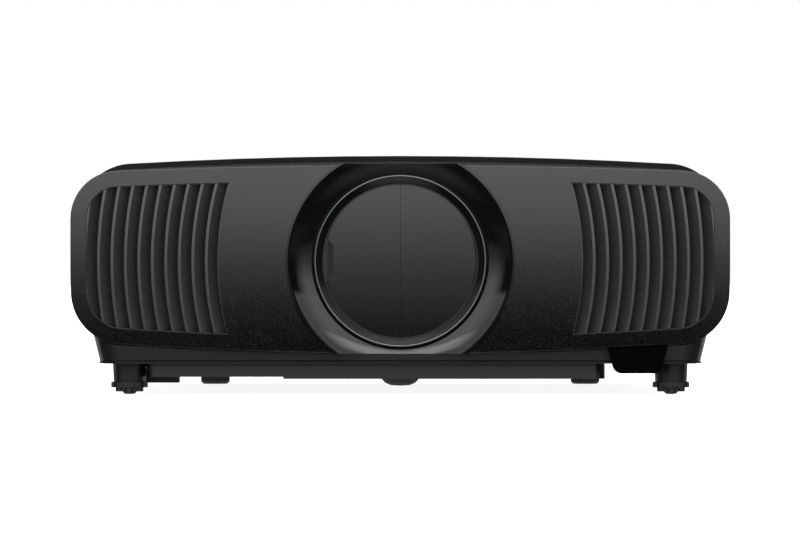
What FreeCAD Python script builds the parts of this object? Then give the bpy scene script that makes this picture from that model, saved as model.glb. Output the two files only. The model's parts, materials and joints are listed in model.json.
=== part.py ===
"""Home cinema projector, built as an assembly of separate pieces.

Row frame, millimetres: +X to the right seen from the front, +Y towards the rear, +Z up.
The origin is on the floor under the middle of the case, and the lens looks along -Y.
Every sub-part is an object of one document, sized by the spreadsheet "sizes".
"""

import FreeCAD
import Part
import math
import os
import re
import Sketcher

Vector = FreeCAD.Vector
Rotation = FreeCAD.Rotation

doc = FreeCAD.newDocument("home_projector")
sizes = doc.addObject("Spreadsheet::Sheet", "sizes")
aliases = []
kept = []


# ---------------------------------------------------------------- the sheet and small helpers

def size(alias, number):
    """One driving dimension, in millimetres, degrees or a count."""
    aliases.append(alias)
    row = len(aliases)
    sizes.set(f"A{row}", alias)
    sizes.set(f"B{row}", str(number))
    sizes.setAlias(f"B{row}", alias)


def value(text):
    """The number that an expression of sheet aliases comes to."""
    return float(sizes.evalExpression(str(text)))


def count(text):
    return int(round(value(text)))


def linked(text):
    """The same expression as seen from another object of the document."""
    return re.sub(
        r"[A-Za-z_]\w*",
        lambda found: "sizes." + found.group(0) if found.group(0) in aliases else found.group(0),
        str(text),
    )


def bind(thing, **properties):
    for name, text in properties.items():
        thing.setExpression(name, linked(text))


def place(thing, x="0", y="0", z="0", rotation=None):
    if rotation is not None:
        thing.Placement.Rotation = rotation
    for axis, text in zip("xyz", (x, y, z)):
        thing.setExpression(f"Placement.Base.{axis}", linked(text))
    return thing


ALONG = {"X": Rotation(Vector(0, 1, 0), 90), "Y": Rotation(Vector(1, 0, 0), -90), "Z": Rotation()}


def box(name, x, y, z):
    """A block between two numbers on each axis."""
    made = doc.addObject("Part::Box", name)
    bind(made, Length=f"({x[1]}) - ({x[0]})", Width=f"({y[1]}) - ({y[0]})", Height=f"({z[1]}) - ({z[0]})")
    return place(made, x[0], y[0], z[0])


def rod(name, along, radius, start, length):
    made = doc.addObject("Part::Cylinder", name)
    bind(made, Radius=radius, Height=length)
    return place(made, *start, rotation=ALONG[along])


def joined(name, parts):
    made = doc.addObject("Part::MultiFuse", name)
    made.Shapes = parts
    return made


def group(name, parts):
    """Separate solids that share one node."""
    made = doc.addObject("Part::Compound", name)
    made.Links = parts
    return made


def cut(name, base, tools):
    made = doc.addObject("Part::Cut", name)
    made.Base = base
    made.Tool = tools[0] if len(tools) == 1 else joined(name + "_tools", tools)
    return made


def overlap(name, base, tool):
    made = doc.addObject("Part::Common", name)
    made.Base = base
    made.Tool = tool
    return made


def mirrored(name, source):
    """The same piece on the other side of the lens axis."""
    made = doc.addObject("Part::Mirroring", name)
    made.Source = source
    made.Normal = (1, 0, 0)
    return made


def rounded(name, base, radius, chosen):
    """Fillets the edges of base that chosen(edge) picks."""
    doc.recompute()
    made = doc.addObject("Part::Fillet", name)
    made.Base = base
    number = value(radius)
    made.Edges = [(i, number, number) for i, e in enumerate(base.Shape.Edges, 1) if chosen(e)]
    return made


def fixed(name, shape):
    """A shape that Part's own functions make from the sheet's numbers."""
    made = doc.addObject("Part::Feature", name)
    made.Shape = shape
    return made


def keep(label, thing):
    """Marks a finished sub-part; the label is its node's name."""
    thing.Label = label
    kept.append(thing)
    return thing


def draw(sketch, corners):
    """A closed profile through corners (x, y) or (x, y, radius): the radius is that of the arc to the next
    corner, positive where the profile, run anticlockwise, swells outwards."""
    at = [(value(c[0]), value(c[1])) for c in corners]
    first = sketch.GeometryCount
    ends = []
    for i, corner in enumerate(corners):
        a = Vector(*at[i], 0)
        b = Vector(*at[(i + 1) % len(at)], 0)
        if len(corner) == 2:
            sketch.addGeometry(Part.LineSegment(a, b), False)
            ends.append((1, 2))
            continue
        radius = value(corner[2])
        left = Vector(-(b - a).y, (b - a).x, 0).normalize()
        half = (b - a).Length / 2
        reach = math.sqrt(radius * radius - half * half) * (1 if radius > 0 else -1)
        centre = (a + b) / 2 + left * reach
        start, end = (a, b) if radius > 0 else (b, a)
        turn = [math.atan2(p.y - centre.y, p.x - centre.x) for p in (start, end)]
        circle = Part.Circle(centre, Vector(0, 0, 1), abs(radius))
        sketch.addGeometry(Part.ArcOfCircle(circle, turn[0], turn[1]), False)
        ends.append((1, 2) if radius > 0 else (2, 1))
        number = sketch.addConstraint(Sketcher.Constraint("Radius", first + i, abs(radius)))
        sketch.setExpression(f"Constraints[{number}]", linked(f"abs({corner[2]})"))
    for i in range(len(corners)):
        after = (i + 1) % len(corners)
        sketch.addConstraint(Sketcher.Constraint("Coincident", first + i, ends[i][1], first + after, ends[after][0]))
    for i, corner in enumerate(corners):
        for kind, text, number in (("DistanceX", corner[0], at[i][0]), ("DistanceY", corner[1], at[i][1])):
            made = sketch.addConstraint(Sketcher.Constraint(kind, -1, 1, first + i, ends[i][0], number))
            sketch.setExpression(f"Constraints[{made}]", linked(text))


def sketched_body(name, plane, profiles):
    body = doc.addObject("PartDesign::Body", name)
    sketch = body.newObject("Sketcher::SketchObject", name + "_sketch")
    sketch.AttachmentSupport = [f for f in body.Origin.OriginFeatures if f.Role == plane + "_Plane"][0]
    sketch.MapMode = "FlatFace"
    for corners in profiles:
        draw(sketch, corners)
    return body, sketch


def slab(name, plane, profiles, start, thick, at=("0", "0", "0")):
    """Profiles on a plane, padded from start by thick: along +Y for XZ, +Z for XY and +X for YZ."""
    body, sketch = sketched_body(name, plane, profiles)
    pad = body.newObject("PartDesign::Pad", name + "_pad")
    pad.Profile = sketch
    pad.Reversed = plane == "XZ"
    bind(pad, Length=thick)
    where = list(at)
    axis = {"XZ": 1, "XY": 2, "YZ": 0}[plane]
    where[axis] = f"({where[axis]}) + ({start})"
    return place(body, *where)


def turned(name, profile, at, along="Z"):
    """A profile of (radius, height) turned round its own height axis, which then points along an axis."""
    body, sketch = sketched_body(name, "XZ", [profile])
    spin = body.newObject("PartDesign::Revolution", name + "_turn")
    spin.Profile = sketch
    spin.ReferenceAxis = (sketch, ["V_Axis"])
    spin.Angle = 360
    return place(body, *at, rotation=ALONG[along])


def runs_along(edge, axis):
    """Whether an edge is straight and parallel to an axis."""
    ends = edge.Vertexes
    if len(ends) != 2 or edge.Curve.TypeId != "Part::GeomLine":
        return False
    way = (ends[1].Point - ends[0].Point).normalize()
    return abs(abs(way.dot(axis)) - 1) < 1e-6


X_AXIS, Y_AXIS, Z_AXIS = Vector(1, 0, 0), Vector(0, 1, 0), Vector(0, 0, 1)

# ---------------------------------------------------------------- driving dimensions

for alias, number in {
    # the whole case
    "case_width": 522.6, "case_depth": 447, "lens_height": 106, "wall": 2.6, "fit_gap": 0.3,
    # front fascia: edges above and below the lens axis, and its two curvatures
    "fascia_rise": 76.2, "fascia_drop": 73.3, "top_bow": 6.1, "bottom_bow": 9.7, "corner_radius": 38,
    "low_corner": 42, "side_taper": 2.2,
    "plan_curve": 2414, "front_swell": 1.6, "side_curve": 562, "fascia_depth": 28, "edge_round": 1,
    # the two vent openings and their louvres
    "vent_inset": 12.4, "vent_centre": 83, "vent_radius": 226.7, "louvre_pitch": 10.7, "louvre_start": -0.7,
    "louvre_edge": 2.2, "louvre_lip": 4.4, "louvre_depth": 11.5, "louvre_sink": 0.9, "louvre_thick": 2.0, "grille_depth": 26,
    # lens bowl, trim ring and shutter
    "bowl_radius": 89.1, "bowl_rise": 77, "bowl_drop": 73.4, "bowl_depth": 18.5, "bowl_curve": 45,
    "bowl_straight": 5.5, "bowl_wall": 1.5, "ring_outer": 68.2, "ring_crest": 66.8, "ring_inner": 62.3,
    "ring_front": 14.4, "ring_back": 23, "door_radius": 60.6, "door_front": 23.5, "door_thick": 4.3, "door_crown": 800,
    "carrier_half": 64, "carrier_width": 63, "carrier_thick": 1.5, "door_chamfer": 0.7, "door_travel": 62,
    "rack_module": 0.8, "pinion_teeth": 12, "rack_gap": 31.1, "rack_thick": 4, "pinion_drop": 76,
    # upper case
    "lid_inset": 3.3, "crown_rise": 87, "crown_across": 3900, "crown_along": 1900, "crown_peak": -20, "groove": 3,
    "case_split": 79, "skirt_top": 60, "rear_cap": 18.5, "lid_round": 38,
    # lower case and bottom cover
    "skirt_top_inset": 14.4, "skirt_low_inset": 23, "floor_level": 24.5, "skirt_front": 14, "skirt_slope": 2,
    "plan_round": 16, "tray_level": 12.3, "tray_step": 1.6, "tray_left_inset": 58.9, "tray_right_inset": 98.3,
    # feet
    "foot_inset": 45.3, "foot_back": 45, "collar_radius": 13.4, "collar_level": 10.2, "stud_radius": 4.75,
    "stud_length": 28, "dial_radius": 14.6, "dial_low": 5.4, "lobe_radius": 12, "lobe_low": 2.1,
    "pad_radius": 5.6, "foot_travel": 10, "rear_foot_inset": 100.8, "rear_foot_back": 395, "rear_foot_radius": 12.5,
    # remote windows
    "window_inset": 47.3, "window_width": 53, "window_low": 17.2, "window_taper": 8.5, "window_round": 7,
    # projection lens and its shift frames
    "shift_up": 10, "shift_side": 6, "barrel_radius": 40, "barrel_front": 33, "barrel_back": 139.5,
    "ring_teeth": 90, "drive_teeth": 12, "drive_module": 1, "gear_width": 8, "focus_at": 74, "zoom_at": 104,
    # fans
    "fan_size": 80, "fan_thick": 25, "fan_radius": 37.5, "hub_radius": 16, "fan_inset": 71.3,
    # side control panel
    "panel_near": 20, "panel_far": 120, "panel_low": 97.5, "panel_high": 140, "hinge_radius": 3.1,
    "button_rise": 1.8, "button_travel": 0.8, "button_radius": 4.2,
    # rear panel
    "bay_half": 112, "bay_low": 38, "bay_high": 82, "filter_inset": 23.3, "filter_width": 104,
    "filter_low": 62, "filter_high": 152, "inlet_inset": 76.3, "inlet_level": 56,
}.items():
    size(alias, number)
doc.recompute()

# often used places, as expressions of the sheet
FRONT = "(-case_depth / 2 - front_swell)"
REAR = "(case_depth / 2)"
HALF = "(case_width / 2)"
AXIS = "lens_height"
LID_BACK = f"({REAR} - rear_cap)"
WALL_OUT = "(case_width / 2 - lid_inset)"
SKIRT_TOP = "(case_width / 2 - skirt_top_inset)"
SKIRT_LOW = "(case_width / 2 - skirt_low_inset)"
TRAY_LEFT = "(case_width / 2 - tray_left_inset)"
TRAY_RIGHT = "(case_width / 2 - tray_right_inset)"
FOOT_SIDE = "(case_width / 2 - foot_inset)"
REAR_FOOT_SIDE = "(case_width / 2 - rear_foot_inset)"
WINDOW_RIGHT = "(case_width / 2 - window_inset)"
WINDOW_LEFT = f"({WINDOW_RIGHT} - window_width)"
FAN_SIDE = "(case_width / 2 - fan_inset)"
FILTER_LEFT = "(case_width / 2 - filter_inset)"
FILTER_RIGHT = f"({FILTER_LEFT} - filter_width)"
INLET_SIDE = "(case_width / 2 - inlet_inset)"


# ---------------------------------------------------------------- shared front shapes

def edge_profile(inset):
    """The fascia's outline seen from the front, about the lens axis, moved in by inset. Its sides lean in below
    the axis, and its top and bottom are bowed."""
    half = f"({HALF} - {inset})"
    low = f"(fascia_drop - bottom_bow - {inset})"
    foot = f"({half} - side_taper)"
    top_radius = f"((case_width / 2) ^ 2 + top_bow ^ 2) / (2 * top_bow)"
    low_radius = f"((case_width / 2) ^ 2 + bottom_bow ^ 2) / (2 * bottom_bow)"
    side_radius = f"({low} ^ 2 + side_taper ^ 2) / (2 * side_taper)"
    return [
        (f"-{foot}", f"-{low}", low_radius),
        (foot, f"-{low}", side_radius),
        (half, "0"),
        (half, f"fascia_rise - top_bow - {inset}", top_radius),
        (f"-{half}", f"fascia_rise - top_bow - {inset}"),
        (f"-{half}", "0", side_radius),
    ]


def rounded_corners(name, base, top, low):
    """Rounds the edges along Y of a front outline: top ones and low ones each by their own radius."""
    level = value(AXIS)
    upper = rounded(name + "_top", base, top, lambda edge: runs_along(edge, Y_AXIS) and edge.BoundBox.ZMin > level + 30)
    return rounded(name, upper, low, lambda edge: runs_along(edge, Y_AXIS) and edge.BoundBox.ZMin < level - 30)


def outline_block(name, inset, front, back):
    """A block with the fascia's outline and its four round corners, between two depths."""
    body = slab(name + "_block", "XZ", [edge_profile(inset)], front, f"({back}) - ({front})", ("0", FRONT, AXIS))
    return rounded_corners(name, body, f"corner_radius - ({inset})", f"low_corner - ({inset})")


def front_curve(name, sink):
    """The doubly curved front surface as a solid, sunk by a distance."""
    made = doc.addObject("Part::Torus", name)
    bind(made, Radius1="plan_curve - side_curve", Radius2=f"side_curve - ({sink})")
    return place(made, "0", f"{FRONT} + plan_curve", AXIS)


def vent_profile(grow):
    """The left vent opening seen from the front, about the lens axis, grown by a distance."""
    inset = f"(vent_inset - ({grow}))"
    side = f"({HALF} - {inset})"
    top = f"(fascia_rise - top_bow * 0.27 - {inset})"
    low = f"(fascia_drop - bottom_bow * 0.27 - {inset})"
    inner = f"(vent_radius - ({grow}))"
    top_radius = "((case_width / 2) ^ 2 + top_bow ^ 2) / (2 * top_bow)"
    low_radius = "((case_width / 2) ^ 2 + bottom_bow ^ 2) / (2 * bottom_bow)"
    return [
        (f"-{side}", f"-(fascia_drop - bottom_bow * 0.91 - {inset})", low_radius),
        (f"vent_centre - sqrt({inner} ^ 2 - {low} ^ 2)", f"-{low}", f"-{inner}"),
        (f"vent_centre - sqrt({inner} ^ 2 - {top} ^ 2)", top, top_radius),
        (f"-{side}", f"fascia_rise - top_bow * 0.91 - {inset}"),
    ]


def vent_block(name, grow, front, back):
    body = slab(name + "_block", "XZ", [vent_profile(grow)], front, f"({back}) - ({front})", ("0", FRONT, AXIS))
    limit = value(f"vent_inset + 20 - {HALF}")
    level = value(AXIS)
    upper = rounded(name + "_top", body, f"corner_radius - vent_inset + ({grow})", lambda edge: (
        runs_along(edge, Y_AXIS) and edge.BoundBox.XMax < limit and edge.BoundBox.ZMin > level))
    return rounded(name, upper, f"low_corner - vent_inset + ({grow})", lambda edge: (
        runs_along(edge, Y_AXIS) and edge.BoundBox.XMax < limit and edge.BoundBox.ZMin < level))


def bowl_profile(grow):
    """Half section of the lens bowl: straight rim, then a hollow curve in to the trim ring."""
    seat = f"(ring_outer + fit_gap)"
    return [
        (f"bowl_radius + bowl_wall + ({grow})", "-6"),
        (f"bowl_radius + bowl_wall + ({grow})", "bowl_straight", "bowl_curve + bowl_wall"),
        (seat, f"bowl_depth + bowl_wall + ({grow})"),
        (seat, "bowl_depth", "-bowl_curve"),
        ("bowl_radius", "bowl_straight"),
        ("bowl_radius", "-6"),
    ]


# ---------------------------------------------------------------- front of the case

def make_fascia():
    outside = overlap("fascia_outside", outline_block("fascia_outline", "0", "-2", "fascia_depth"),
                      front_curve("fascia_front", "0"))
    back = value(f"{FRONT} + fascia_depth")
    softened = rounded("fascia_softened", outside, "edge_round",
                       lambda edge: edge.BoundBox.YMax < back - 1 and not runs_along(edge, Y_AXIS))
    inside = overlap("fascia_inside", outline_block("fascia_hollow", "wall", "0", "fascia_depth + 1"),
                     front_curve("fascia_back_curve", "wall"))
    vent = vent_block("vent_opening", "0", "-2", "fascia_depth + 2")
    # the bowl's outer form, with a fit gap, filled in to the lens axis
    seat = turned("bowl_seat", [
        ("0", "-8"), ("bowl_radius + bowl_wall + 0.15", "-8"),
        ("bowl_radius + bowl_wall + 0.15", "bowl_straight", "bowl_curve + bowl_wall"),
        ("ring_outer - 2", "bowl_depth + bowl_wall + 0.9"), ("ring_outer - 2", "fascia_depth + 3"),
        ("0", "fascia_depth + 3"),
    ], ("0", FRONT, AXIS), "Y")
    keep("front_fascia", cut("fascia", softened, [inside, vent, mirrored("vent_opening_right", vent), seat]))


def make_bowl():
    whole = turned("bowl_turned", bowl_profile("0"), ("0", FRONT, AXIS), "Y")
    trimmed = overlap("bowl_trimmed", whole, front_curve("bowl_front", "0"))
    span = box("bowl_span", ("-120", "120"), (f"{FRONT} - 5", f"{FRONT} + 40"),
               (f"{AXIS} - bowl_drop", f"{AXIS} + bowl_rise"))
    keep("lens_bowl", overlap("bowl", trimmed, span))


def make_trim_ring():
    crest = "(ring_outer - ring_crest) / 2"
    keep("lens_trim_ring", turned("trim_ring", [
        ("ring_inner - 0.3", "ring_back"),
        ("ring_inner - 0.3", "ring_back - 3"),
        ("ring_inner", "ring_back - 3.6"),
        ("ring_crest", f"ring_front + {crest}", f"-({crest}) * 1.02"),
        ("ring_outer", f"ring_front + {crest}"),
        ("ring_outer", "ring_back"),
    ], ("0", FRONT, AXIS), "Y"))


def make_grilles():
    """Curved louvres about an axis beside the lens; each blade's lit edge is forward and its web runs in and back."""
    centre = Vector(value("vent_centre"), 0, value(AXIS))
    first = value(f"vent_centre + {HALF} - vent_inset - louvre_start")
    lip = value("louvre_edge") / 2
    deep, thick, lip_deep = value("louvre_depth"), value("louvre_thick"), value("louvre_lip")
    sweep = 40
    blades = []
    blade_count = int((first - value("vent_radius") - 4) / value("louvre_pitch")) + 1
    for k in range(blade_count):
        radius = first - k * value("louvre_pitch")
        away = radius - value("vent_centre")
        front = value(FRONT) + away * away / (2 * value("plan_curve"))
        reach = value("louvre_pitch") - lip
        section = [
            (radius + lip, front - 3), (radius - lip, front - 3), (radius - lip, front + lip_deep),
            (radius - reach, front + deep), (radius - reach, front + deep + thick),
            (radius + lip, front + lip_deep + thick),
        ]
        wire = Part.makePolygon([centre + Vector(-r, y, 0) for r, y in section + section[:1]])
        face = Part.Face(wire)
        face.rotate(centre, Y_AXIS, -sweep / 2)
        blades.append(face.revolve(centre, Y_AXIS, sweep))
    blade_set = fixed("louvre_blades", Part.makeCompound(blades))
    inner = vent_block("vent_inner", "-fit_gap", "-2", "grille_depth")
    sunk = overlap("louvre_window", inner, front_curve("louvre_front", "louvre_sink"))
    louvres = overlap("louvres", blade_set, sunk)
    frame_out = overlap("grille_frame_out", vent_block("vent_outer", "3", "-2", "grille_depth"),
                        front_curve("grille_front", "wall + 0.2"))
    frame = cut("grille_frame", frame_out, [vent_block("vent_hollow", "-0.8", "-3", "grille_depth + 1")])
    left = joined("grille_left", [louvres, frame])
    keep("vent_grille_left", left)
    keep("vent_grille_right", mirrored("grille_right", left))


def make_front_window():
    """The dark trapezoid that the remote signal enters by, hanging below the fascia's edge."""
    top = f"(lens_height - fascia_drop + bottom_bow + 6)"
    blank = slab("window_blank", "XZ", [[
        (f"{WINDOW_LEFT} + window_taper", "window_low"), (f"{WINDOW_RIGHT} - window_taper", "window_low"),
        (WINDOW_RIGHT, top), (WINDOW_LEFT, top),
    ]], "1.8", "12.7", ("0", FRONT, "0"))
    low = value("window_low") + 1
    soft = rounded("window_soft", blank, "window_round",
                   lambda edge: runs_along(edge, Y_AXIS) and edge.BoundBox.ZMax < low)
    below = outline_block("window_trim", "-0.25", "-4", "fascia_depth + 4")
    keep("remote_window_front", cut("window_front", soft, [below]))


# ---------------------------------------------------------------- shutter

def rack_teeth(name, start, end, line, up, near, thick, at_centre):
    """A straight rack bar between two X; line is its pitch line's height, and up says which way its teeth
    point. at_centre is 0 for a tooth on X = 0 and 0.5 for a gap there."""
    pitch = math.pi * value("rack_module")
    top, root = value("rack_module") * 0.9, value("rack_module") * 1.25
    slope = math.tan(math.radians(20))
    way = 1 if up else -1
    half = pitch / 4 - 0.09
    back = line - way * (root + 2.6)
    bar = Part.makeBox(end - start, thick, 2.6,
                       Vector(start, near, min(back, line - way * root)))
    shapes = []
    low, high = int(math.floor(start / pitch)) + 1, int(math.ceil(end / pitch)) - 1
    for n in range(low, high + 1):
        x = (n + at_centre) * pitch
        if x - pitch / 2 < start or x + pitch / 2 > end:
            continue
        corners = [(x - half - root * slope, line - way * root), (x + half + root * slope, line - way * root),
                   (x + half - top * slope, line + way * top), (x - half + top * slope, line + way * top)]
        wire = Part.makePolygon([Vector(a, near, b) for a, b in corners + corners[:1]])
        shapes.append(Part.Face(wire).extrude(Vector(0, thick, 0)))
    return fixed(name, bar.fuse(shapes).removeSplitter())


def gear(name, teeth, module, width, bore, along, phase=0.0, slack=0.09, ring_inside=None):
    """An involute spur gear about its own axis, which points along the given axis, with a tooth at phase."""
    pitch_radius = teeth * module / 2
    base = pitch_radius * math.cos(math.radians(20))
    tip, root = pitch_radius + 0.9 * module, pitch_radius - 1.25 * module
    involute = math.tan(math.radians(20)) - math.radians(20)
    half_tooth = math.pi / (2 * teeth) - slack / pitch_radius

    def flank(radius):
        """The half angle of a tooth at a radius."""
        if radius <= base:
            return half_tooth + involute
        lean = math.acos(base / radius)
        return half_tooth + involute - (math.tan(lean) - lean)

    radii = [max(root, base * 0.999)] + [base + (tip - base) * n / 4 for n in range(1, 5)]
    points = []
    for n in range(teeth):
        middle = phase + 2 * math.pi * n / teeth
        points.append((root, middle - flank(radii[0])))
        points += [(r, middle - flank(r)) for r in radii]
        points += [(r, middle + flank(r)) for r in reversed(radii)]
        points.append((root, middle + flank(radii[0])))
    places = [Vector(r * math.cos(t), r * math.sin(t), 0) for r, t in points]
    clean = [p for i, p in enumerate(places) if (p - places[i - 1]).Length > 1e-4]
    face = Part.Face(Part.makePolygon(clean + clean[:1]))
    solid = face.extrude(Vector(0, 0, width))
    solid = solid.cut(Part.makeCylinder(ring_inside or bore, width + 2, Vector(0, 0, -1)))
    made = fixed(name, solid)
    made.Placement = FreeCAD.Placement(Vector(), ALONG[along])
    return made


def set_base(thing, x, y, z):
    """Places a fixed shape, keeping its rotation, with expressions of the sheet."""
    return place(thing, x, y, z)


def make_shutter():
    rack_line = "rack_module * pinion_teeth / 2"
    door_y, back_y = f"{FRONT} + door_front", f"{FRONT} + door_front + door_thick"
    carrier_y = f"({back_y} - 1)"
    carrier_back = f"({carrier_y} + carrier_thick)"
    rack_y = f"({FRONT} + rack_gap)"
    rack_back = f"({rack_y} + rack_thick)"
    low = f"({AXIS} - carrier_half)"
    pinion_z = f"({AXIS} - pinion_drop)"
    long = value("door_travel") + 6
    for side, sign in (("left", -1), ("right", 1)):
        disc = turned(f"door_disc_{side}", [
            ("0", "0"), ("door_radius - door_chamfer", "0"), ("door_radius", "door_chamfer"),
            ("door_radius", "door_thick"), ("0", "door_thick"),
        ], ("0", door_y, AXIS), "Y")
        span = ("0.15", "door_radius + 1") if sign > 0 else ("-door_radius - 1", "-0.15")
        crown = rod(f"door_crown_{side}", "X", "door_crown", ("-100", f"{door_y} + door_crown", AXIS), "200")
        half = overlap(f"door_half_{side}", overlap(f"door_face_{side}", disc, crown), box(f"door_side_{side}", span, (door_y, back_y), (
            f"{AXIS} - door_radius - 1", f"{AXIS} + door_radius + 1")))
        wide = ("0.15", "carrier_width") if sign > 0 else ("-carrier_width", "-0.15")
        carrier = box(f"door_carrier_{side}", wide, (carrier_y, carrier_back), (low, f"{AXIS} + carrier_half"))
        finger_x = ("9", "15") if sign > 0 else ("-15", "-9")
        tip = f"({rack_back} + 1.9)" if sign > 0 else rack_back
        finger = box(f"door_finger_{side}", finger_x, (carrier_y, tip), (low, f"{low} + 2.2"))
        near, thick = value(rack_y), value("rack_thick")
        line = value(f"{pinion_z} + ({rack_line}) * {-sign}")
        if sign > 0:
            # the lower rack: its arm passes behind the upper rack and the pinion
            rack = rack_teeth("door_rack_right", -long, 15, line, True, near, thick, 0.5)
            arm = box("door_arm_right", finger_x, (f"{rack_back} + 0.4", tip), (
                f"{pinion_z} - ({rack_line}) - rack_module * 1.25 - 2.6", f"{low} + 2.2"))
            foot = box("door_arm_foot", finger_x, (rack_y, tip), (
                f"{pinion_z} - ({rack_line}) - rack_module * 1.25 - 2.6",
                f"{pinion_z} - ({rack_line}) - rack_module * 1.25"))
            parts = [half, carrier, finger, arm, foot, rack]
        else:
            rack = rack_teeth("door_rack_left", -15, long, line, False, near, thick, 0.5)
            arm = box("door_arm_left", finger_x, (rack_y, rack_back), (
                f"{pinion_z} + ({rack_line}) + rack_module * 1.25", f"{low} + 2.2"))
            parts = [half, carrier, finger, arm, rack]
        door = joined(f"door_{side}", parts)
        if sign < 0:
            notch = slab("door_notch", "XZ", [[
                ("-door_radius - 2", "-19"), ("-door_radius + 3.5", "-16"), ("-door_radius + 7.2", "-11.5"),
                ("-door_radius + 7.2", "11.5"), ("-door_radius + 3.5", "16"), ("-door_radius - 2", "19"),
            ]], "-1", "2.6", ("0", door_y, f"{AXIS} + 1"))
            door = cut("door_left_notched", door, [notch])
        keep(f"shutter_door_{side}", door)

    plate_y = (f"{carrier_back} + 0.4", f"{carrier_back} + 2.4")
    plate = box("shutter_plate", ("-128", "128"), plate_y, (f"{AXIS} - 67", f"{AXIS} + 70"))
    window = rod("shutter_window", "Y", "ring_inner - 0.5", ("0", f"{FRONT} + door_front", AXIS), "20")
    slot = box("shutter_slot", ("-15.5 - door_travel", "15.5 + door_travel"), (door_y, f"{FRONT} + 50"),
               (f"{low} - 0.4", f"{low} + 2.6"))
    roof = box("shutter_roof", ("-128", "128"), (f"{carrier_y} - 1.6", f"{carrier_back} + 0.5"), (
        f"{AXIS} + carrier_half + 0.4", f"{AXIS} + 67"))
    lip = box("shutter_lip", ("-128", "128"), (f"{carrier_y} - 1.6", f"{carrier_y} - 0.4"), (
        f"{AXIS} + ring_inner + 0.4", f"{AXIS} + 67"))
    hang_y = (f"{rack_back} + 2.4", f"{rack_back} + 4.4")
    stem = box("motor_stem", ("84", "96"), (f"{carrier_back} + 0.5", f"{rack_back} + 4.4"), (
        f"{AXIS} - 67", f"{low} - 0.4"))
    bar = box("motor_bar", ("-12", "96"), hang_y, (f"{pinion_z} - 10", f"{pinion_z} + 12"))
    shaft_hole = rod("motor_shaft_hole", "Y", "3.2", ("0", f"{rack_back}", pinion_z), "10")
    keep("shutter_frame", cut("shutter_frame_cut", joined("shutter_frame_whole", [
        plate, roof, lip, stem, bar]), [window, slot, shaft_hole]))

    pinion = gear("pinion_gear", count("pinion_teeth"), value("rack_module"), value("rack_thick"), 1.0, "Y",
                  phase=math.pi / 2)
    keep("shutter_pinion", set_base(pinion, "0", rack_y, pinion_z))
    can = rod("motor_can", "Y", "8", ("0", f"{rack_back} + 4.5", pinion_z), "20")
    nose = rod("motor_nose", "Y", "3", ("0", f"{rack_back} + 2.0", pinion_z), "3")
    shaft = rod("motor_shaft", "Y", "0.95", ("0", rack_y, pinion_z), "rack_thick + 6")
    keep("shutter_motor", joined("motor_whole", [can, nose, shaft]))


# ---------------------------------------------------------------- case shells

def lid_block(name, inset, front, back):
    """The upper case as a solid: a box under a doubly curved crown, with its long top edges rounded."""
    half = f"({WALL_OUT} - {inset})"
    blank = box(name + "_box", (f"-{half}", half), (front, back), ("case_split", "lens_height + crown_rise + 20"))
    dome = doc.addObject("Part::Torus", name + "_dome")
    bind(dome, Radius1="crown_across - crown_along", Radius2=f"crown_along - ({inset})")
    place(dome, "0", "crown_peak", "lens_height + crown_rise - crown_across", rotation=ALONG["Y"])
    whole = overlap(name + "_whole", blank, dome)
    top = value("lens_height + crown_rise") - 30
    side = value(half)

    def long_edge(edge):
        reach = edge.BoundBox
        return reach.ZMin > top - 10 and abs(abs(reach.XMin) - side) < 0.01 and reach.YLength > 100

    return rounded(name, whole, f"lid_round - {inset}", long_edge)


def make_upper_case():
    front = f"({FRONT} + fascia_depth + groove)"
    solid = lid_block("lid_out", "0", front, LID_BACK)
    shell = cut("lid_shell", solid, [lid_block("lid_in", "wall", f"{front} - 1", f"{LID_BACK} + 1")])
    # a tongue that closes the dark groove behind the fascia
    tongue_ring = cut("tongue_ring", outline_block("tongue_out", "wall + 0.4", "fascia_depth - 5", "fascia_depth + groove + 2"),
                      [outline_block("tongue_in", "wall + 2.4", "fascia_depth - 6", "fascia_depth + groove + 3")])
    hinge_z = ("panel_low - 1", "panel_low + 2 * hinge_radius + 1")
    lugs = [box(f"door_lug_{n}", (f"-{WALL_OUT} + wall - 0.5", f"-{WALL_OUT} + 8"), span, hinge_z)
            for n, span in enumerate((("panel_near - 5", "panel_near"), ("panel_far", "panel_far + 5")))]
    tongue = overlap("tongue", tongue_ring, box("tongue_upper", (f"-{HALF}", HALF), (FRONT, f"{FRONT} + 60"),
                                                ("case_split", "250")))
    bridge_span = box("bridge_span", (f"-{HALF}", HALF), (front, f"{front} + 2"), ("case_split", "250"))
    bridge_ring = cut("bridge_ring", overlap("bridge_out", solid, bridge_span),
                      [outline_block("bridge_in", "wall + 2.4", "fascia_depth", "fascia_depth + 12")])
    whole = joined("lid_whole", [shell, tongue, bridge_ring] + lugs)
    panel = box("panel_opening", (f"-{WALL_OUT} - 5", f"-{WALL_OUT} + wall + 2"), ("panel_near", "panel_far"),
                ("panel_low", "panel_high"))
    pin_hole = rod("door_pin_hole", "Y", "1.3", (f"-{WALL_OUT} + hinge_radius", "panel_near - 2.3",
                                                  "panel_low + 0.3 + hinge_radius"), "panel_far - panel_near + 4.6")
    slots = []
    for side in (-1, 1):
        for n in range(9):
            near = 136 + 6.4 * n
            slots.append(box(f"side_slot_{side + 1}_{n}", (f"{side} * {WALL_OUT} - 6", f"{side} * {WALL_OUT} + 6"),
                             (str(near), str(near + 3)), (f"{AXIS} - 18", f"{AXIS} + 26")))
    keep("upper_case", cut("lid", whole, [panel, pin_hole] + slots))


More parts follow.
